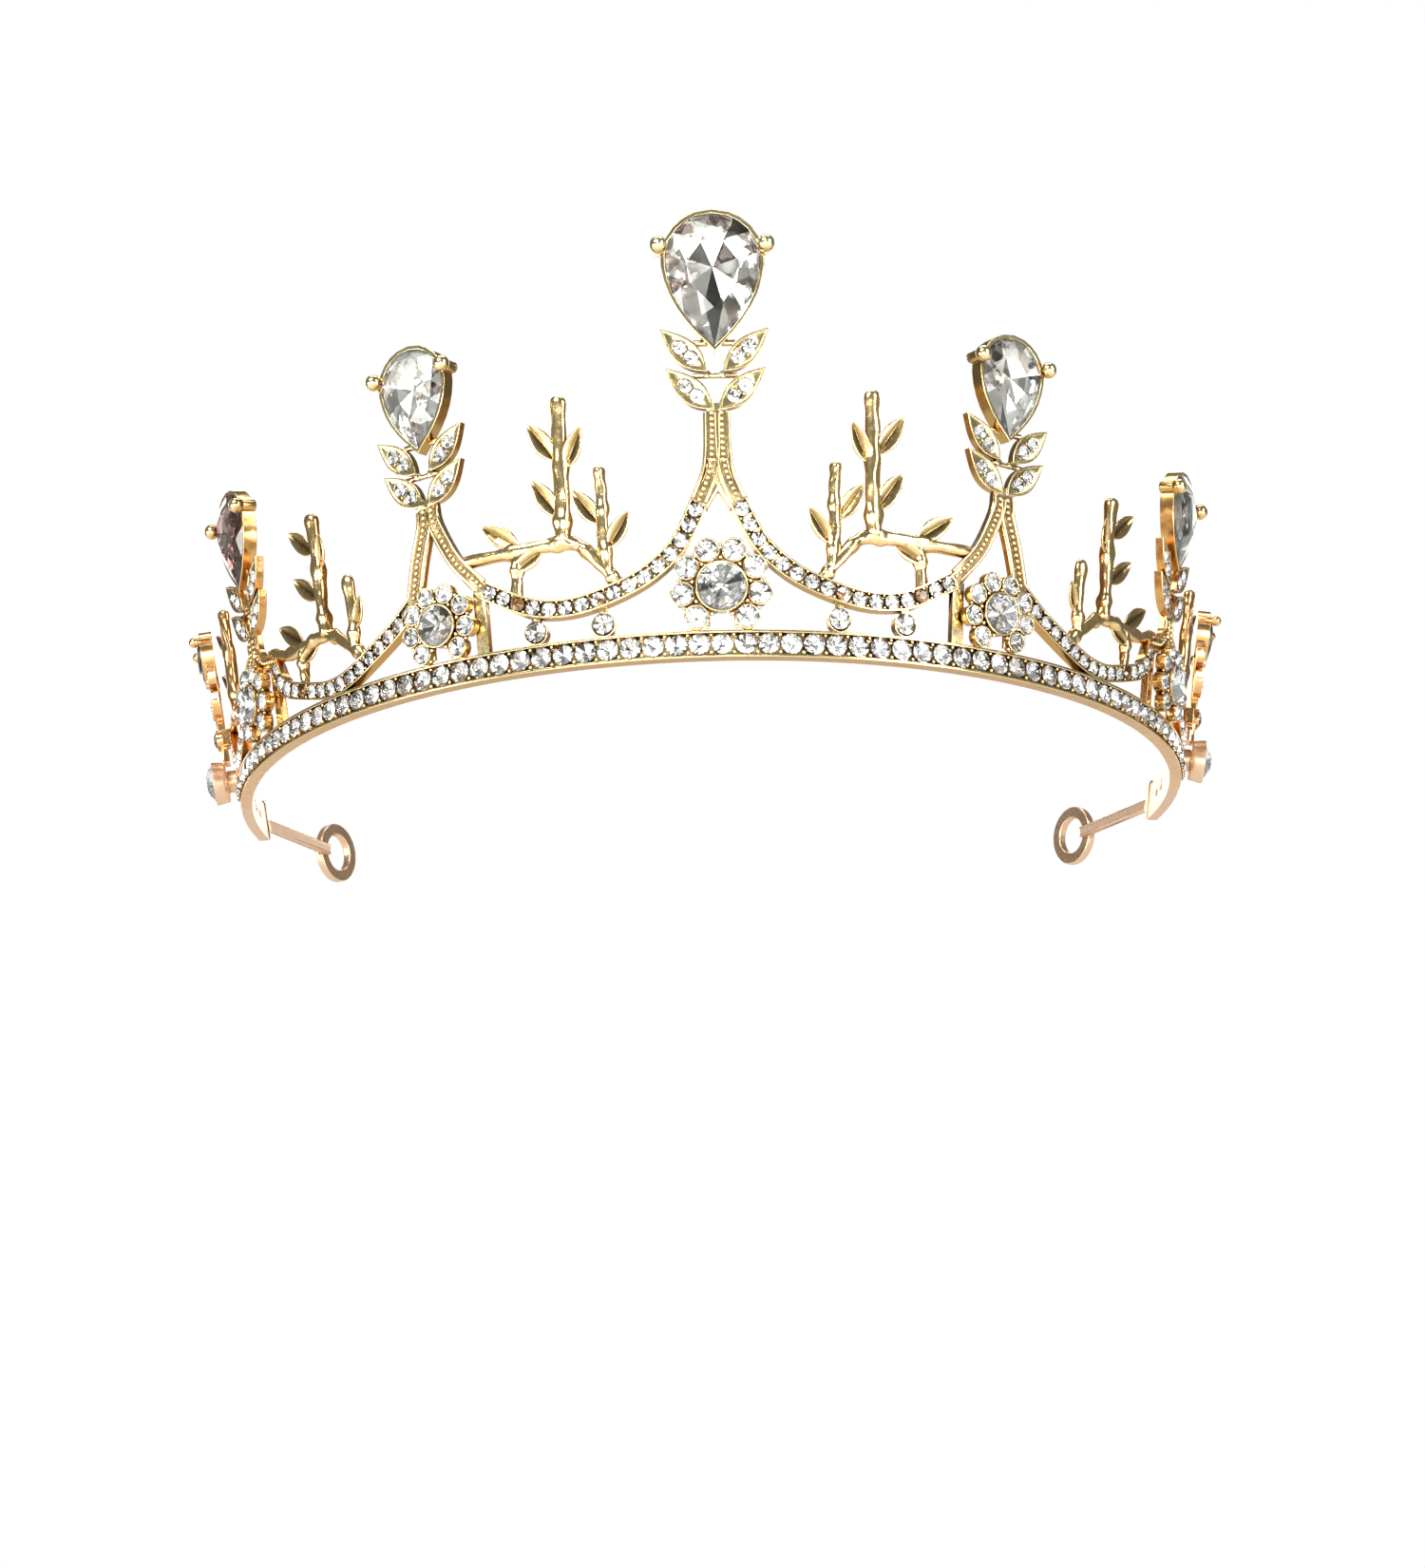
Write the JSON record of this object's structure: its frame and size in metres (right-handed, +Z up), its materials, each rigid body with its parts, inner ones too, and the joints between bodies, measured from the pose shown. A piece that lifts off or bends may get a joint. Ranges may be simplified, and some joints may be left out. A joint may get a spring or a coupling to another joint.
{
  "type": "bridal tiara",
  "caption": "Gold-toned horseshoe tiara: stone-set base band, leaning crest of pear-stone heads, beaded forks, swags, flowers and leafy sprigs, with an eyelet at each end.",
  "frame": {"origin": "middle of the front of the base band's underside, halfway through the band's thickness", "axes": "+Z up from the rest plane, the front of the tiara faces -Y, +X to the right as seen from the front; the horseshoe opens towards +Y"},
  "size_m": [0.1618, 0.1248, 0.0605],
  "materials": {
    "pale_gold": "polished pale yellow gold plate",
    "setting_gold": "polished pale yellow gold plate",
    "sprig_gold": "cast and plated, slightly uneven",
    "rose_gold": "satin plate, warmer tone",
    "stone": "faceted clear crystal with a silvered back"
  },
  "bodies": {
    "root": {"base_band": "pale_gold", "base_row_stones": "stone", "middle_frame": "pale_gold", "middle_leaf_spray": "pale_gold", "middle_pear_setting": "setting_gold", "middle_pear_stone": "stone", "middle_flower_setting": "setting_gold", "right_inner_frame": "pale_gold", "right_inner_leaf_spray": "pale_gold", "right_inner_pear_setting": "setting_gold", "right_inner_pear_stone": "stone", "right_inner_flower_setting": "setting_gold", "left_inner_frame": "pale_gold", "left_inner_leaf_spray": "pale_gold", "left_inner_pear_setting": "setting_gold", "left_inner_pear_stone": "stone", "left_inner_flower_setting": "setting_gold", "right_outer_frame": "pale_gold", "right_outer_leaf_spray": "pale_gold", "right_outer_pear_setting": "setting_gold", "right_outer_pear_stone": "stone", "right_outer_flower_setting": "setting_gold", "left_outer_frame": "pale_gold", "left_outer_leaf_spray": "pale_gold", "left_outer_pear_setting": "setting_gold", "left_outer_pear_stone": "stone", "left_outer_flower_setting": "setting_gold", "flower_centre_stones": "stone", "flower_petal_stones": "stone", "leaf_stones": "stone", "inner_swag_stones": "stone", "outer_swag_stones": "stone", "end_swag_stones": "stone", "right_inner_swag": "pale_gold", "left_inner_swag": "pale_gold", "right_outer_swag": "pale_gold", "left_outer_swag": "pale_gold", "right_end_swag": "pale_gold", "left_end_swag": "pale_gold", "link_cups": "pale_gold", "link_stones": "stone", "right_inner_sprig": "sprig_gold", "left_inner_sprig": "sprig_gold", "right_outer_sprig": "sprig_gold", "left_outer_sprig": "sprig_gold", "right_end_sprig": "sprig_gold", "left_end_sprig": "sprig_gold", "right_end_column": "pale_gold", "left_end_column": "pale_gold", "end_pear_stones": "stone", "end_round_stones": "stone", "right_end_plate": "rose_gold", "left_end_plate": "rose_gold", "right_eyelet_arm": "rose_gold", "left_eyelet_arm": "rose_gold"}
  },
  "joints": []
}
